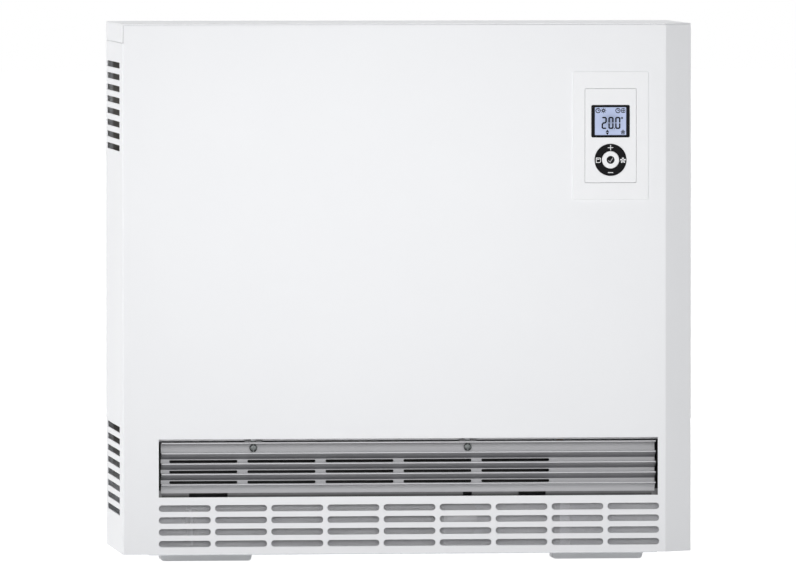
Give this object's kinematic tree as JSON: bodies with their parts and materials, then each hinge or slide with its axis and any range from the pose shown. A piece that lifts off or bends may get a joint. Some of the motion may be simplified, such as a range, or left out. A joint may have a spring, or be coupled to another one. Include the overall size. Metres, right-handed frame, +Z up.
{
  "type": "storage heater",
  "caption": "Floor-standing storage heater: white sheet-steel cabinet with side vents, grey louvred discharge grille, inlet slots and control unit round an insulated brick core with a fan.",
  "frame": {"origin": "centre of the footprint at floor level", "axes": "+Z up, +Y towards the wall behind the heater, +X to the right of someone facing its front"},
  "size_m": [0.704, 0.252, 0.662],
  "materials": {
    "white_enamel": "fine satin powder coat",
    "grille_grey": "satin grey paint",
    "galvanised": "zinc spangle, matt",
    "foot_grey": "satin light grey paint",
    "duct_steel": "galvanised steel, dark from heat further in",
    "bright_steel": "plain bright steel",
    "dark_steel": "blackened steel",
    "bimetal": "rolled strip, dull",
    "white_plastic": "smooth satin",
    "black_gloss": "gloss",
    "black_plastic": "fine grain",
    "grey_plastic": "fine grain",
    "display": "matt blue-grey liquid crystal",
    "silicone": "matt",
    "rubber": "matt",
    "circuit_board": "solder mask",
    "filter_mesh": "fine woven plastic mesh",
    "insulation": "pressed mineral board",
    "storage_brick": null,
    "element_steel": "heat-tinted steel tube"
  },
  "bodies": {
    "cabinet": {"front_panel": "white_enamel", "lid": "white_enamel", "left_side_panel": "white_enamel", "right_side_panel": "white_enamel", "rear_wall": "galvanised", "base_plate": "galvanised", "foot_left": "foot_grey", "foot_right": "foot_grey", "wall_spacers": "rubber", "cabinet_screws": "bright_steel", "discharge_grille": "grille_grey", "air_outlet_duct": "duct_steel", "flap_bimetal": "bimetal", "fluff_filter": "filter_mesh", "fan_tray": "galvanised", "fan_housing": "galvanised", "fan_bearing": "rubber", "fan_motor": "bright_steel", "plenum_box": "galvanised", "core_shelf": "galvanised", "core_support_left": "galvanised", "core_support_right": "galvanised", "core_jacket": "galvanised", "inner_front_plate": "galvanised", "inner_top_plate": "galvanised", "base_slab": "insulation", "front_insulation": "insulation", "rear_insulation": "insulation", "left_insulation": "insulation", "right_insulation": "insulation", "top_insulation": "insulation", "brick_course_1": "storage_brick", "brick_course_2": "storage_brick", "brick_course_3": "storage_brick", "brick_course_4": "storage_brick", "heating_element_1": "element_steel", "heating_element_2": "element_steel", "heating_element_3": "element_steel", "safety_thermostat": "black_plastic", "core_sensor": "bright_steel", "electrical_tray": "galvanised", "charge_board": "circuit_board", "heater_relays": "black_plastic", "terminal_block": "white_plastic", "cable_grommet": "rubber", "controller_frame": "white_plastic", "controller_fascia": "white_plastic", "display_bezel": "black_gloss", "display_glass": "display", "button_mat": "silicone", "controller_board": "circuit_board", "controller_box": "grey_plastic"},
    "fan_rotor": {"fan_rotor": "black_plastic"},
    "mixing_flap": {"mixing_flap": "duct_steel"},
    "grille_lock_left": {"grille_lock_left": "dark_steel"},
    "grille_lock_right": {"grille_lock_right": "dark_steel"},
    "rocker_gimbal": {"rocker_gimbal": "bright_steel"},
    "ring_pad": {"ring_pad": "black_gloss"},
    "ok_button": {"ok_button": "white_plastic"}
  },
  "joints": [
    {"name": "fan_spin", "type": "hinge", "parent": "cabinet", "child": "fan_rotor", "pos_m": [-0.259, -0.048, 0.051], "axis": [1, 0, 0], "continuous": true},
    {"name": "flap_swing", "type": "hinge", "parent": "cabinet", "child": "mixing_flap", "pos_m": [0, -0.07, 0.1483], "axis": [-1, 0, 0], "range_deg": [0, 50], "stiffness_Nm_per_rad": 0.06, "springref_deg": -17.19},
    {"name": "lock_left_turn", "type": "hinge", "parent": "cabinet", "child": "grille_lock_left", "pos_m": [-0.1895, -0.106, 0.1415], "axis": [0, 1, 0], "range_deg": [0, 90]},
    {"name": "lock_right_turn", "type": "hinge", "parent": "cabinet", "child": "grille_lock_right", "pos_m": [0.075, -0.106, 0.1415], "axis": [0, 1, 0], "range_deg": [0, 90]},
    {"name": "ring_up_down", "type": "hinge", "parent": "cabinet", "child": "rocker_gimbal", "pos_m": [0.2495, -0.1242, 0.4943], "axis": [1, 0, 0], "range_deg": [-2, 2], "stiffness_Nm_per_rad": 0.9},
    {"name": "ring_left_right", "type": "hinge", "parent": "rocker_gimbal", "child": "ring_pad", "pos_m": [0.2495, -0.1242, 0.4943], "axis": [0, 0, 1], "range_deg": [-2, 2], "stiffness_Nm_per_rad": 0.9},
    {"name": "ok_press", "type": "slide", "parent": "cabinet", "child": "ok_button", "axis": [0, 1, 0], "range_m": [0, 0.0008], "stiffness_N_per_m": 1500}
  ]
}
